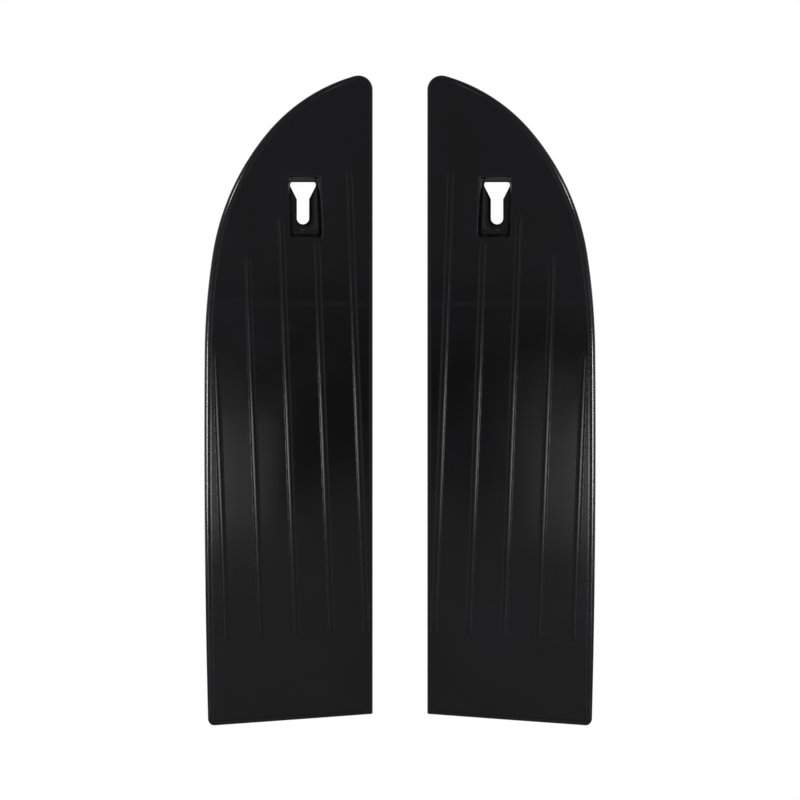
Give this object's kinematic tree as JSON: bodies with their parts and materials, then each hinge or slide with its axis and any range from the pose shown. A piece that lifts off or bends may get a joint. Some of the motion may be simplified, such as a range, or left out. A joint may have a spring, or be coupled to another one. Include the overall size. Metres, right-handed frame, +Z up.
{
  "type": "skate blade guards",
  "caption": "Left and right moulded shells in a mirrored half-leaf shape, open at the back, with raised beads on the face and a keyhole in a pocket near the nose.",
  "frame": {"origin": "middle of the pair on the plane that the rims lie on", "axes": "+Z up, out of the guards' faces; +Y from foot to nose; +X from the left guard to the right guard"},
  "size_m": [0.1808, 0.3, 0.0175],
  "materials": {
    "moulding": "glossy black polypropylene, injection moulded"
  },
  "bodies": {
    "left": {"left_guard": "moulding"},
    "right": {"right_guard": "moulding"}
  },
  "joints": [
    {"name": "right_guard_lift", "type": "slide", "parent": "left", "child": "right", "axis": [0, 0, 1], "range_m": [0, 0.08]}
  ]
}
